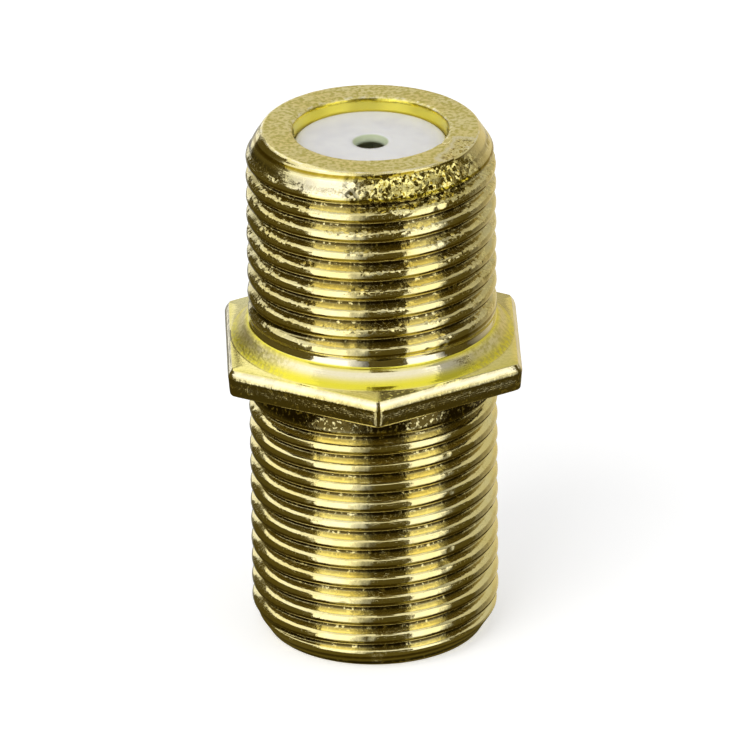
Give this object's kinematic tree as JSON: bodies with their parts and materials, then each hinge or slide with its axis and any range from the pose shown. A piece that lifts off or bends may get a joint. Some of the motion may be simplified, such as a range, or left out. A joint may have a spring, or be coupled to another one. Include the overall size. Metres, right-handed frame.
{
  "type": "f connector",
  "caption": "Female-to-female F connector barrel with a right-hand thread at each end, an off-centre hex flange and white insulator plugs.",
  "frame": {"origin": "centre of the lower end face", "axes": "+Z along the barrel's axis, up towards the shorter threaded end; +X square to a flat of the hex flange"},
  "size_m": [0.0112, 0.0128, 0.0205],
  "materials": {
    "gold_plate": "polished",
    "white_insulator": "satin",
    "contact_metal": "satin"
  },
  "bodies": {
    "root": {"body": "gold_plate", "upper_insulator": "white_insulator", "lower_insulator": "white_insulator", "centre_contact": "contact_metal"}
  },
  "joints": []
}
